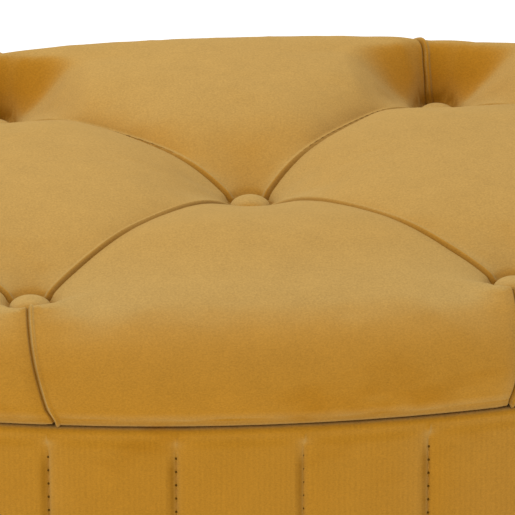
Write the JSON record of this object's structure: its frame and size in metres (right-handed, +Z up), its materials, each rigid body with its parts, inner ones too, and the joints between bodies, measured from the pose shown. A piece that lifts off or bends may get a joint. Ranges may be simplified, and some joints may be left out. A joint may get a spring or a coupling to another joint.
{
  "type": "ottoman with storage",
  "caption": "Oval storage ottoman: a lined box wrapped in channelled velvet on low feet, under a hinged, deep-buttoned padded lid.",
  "frame": {"origin": "centre of the oval footprint, on the floor under the feet", "axes": "+X along the length, +Y to the back where the lid is hinged, +Z up"},
  "size_m": [0.8, 0.4642, 0.453],
  "materials": {
    "velvet": "matte",
    "plywood": "matte",
    "foam": "matte",
    "wadding": "matte",
    "lining": "matte",
    "dust_cloth": "matte",
    "foot_plastic": "matte",
    "felt": "matte",
    "twine": "matte",
    "washer_plastic": "satin",
    "screw_steel": "satin",
    "hinge_steel": "satin"
  },
  "bodies": {
    "base": {"base_board": "plywood", "side_wall": "plywood", "frame_posts": "plywood", "top_rim": "plywood", "side_foam": "foam", "base_cover": "velvet", "inner_lining": "lining", "floor_lining": "lining", "dust_cover": "dust_cloth", "foot_front_left": "foot_plastic", "foot_front_right": "foot_plastic", "foot_back_left": "foot_plastic", "foot_back_right": "foot_plastic", "foot_screws": "screw_steel", "rim_screws": "screw_steel", "rim_bumpers": "felt", "hinge_base_leaf_left": "hinge_steel", "hinge_base_leaf_right": "hinge_steel", "hinge_pin_left": "hinge_steel", "hinge_pin_right": "hinge_steel", "hinge_base_screws": "screw_steel"},
    "lid": {"lid_board": "plywood", "lid_foam": "foam", "lid_wadding": "wadding", "lid_cover": "velvet", "lid_lining": "lining", "hinge_lid_leaf_left": "hinge_steel", "hinge_lid_leaf_right": "hinge_steel", "hinge_lid_screws": "screw_steel", "button_centre": "velvet", "button_end_left": "velvet", "button_end_right": "velvet", "button_front_left": "velvet", "button_front_right": "velvet", "button_back_left": "velvet", "button_back_right": "velvet", "button_twines": "twine", "button_washers": "washer_plastic"}
  },
  "joints": [
    {"name": "lid_hinge", "type": "hinge", "parent": "base", "child": "lid", "pos_m": [0, 0.23099, 0.35625], "axis": [-1, 0, 0], "range_deg": [0, 95]}
  ]
}
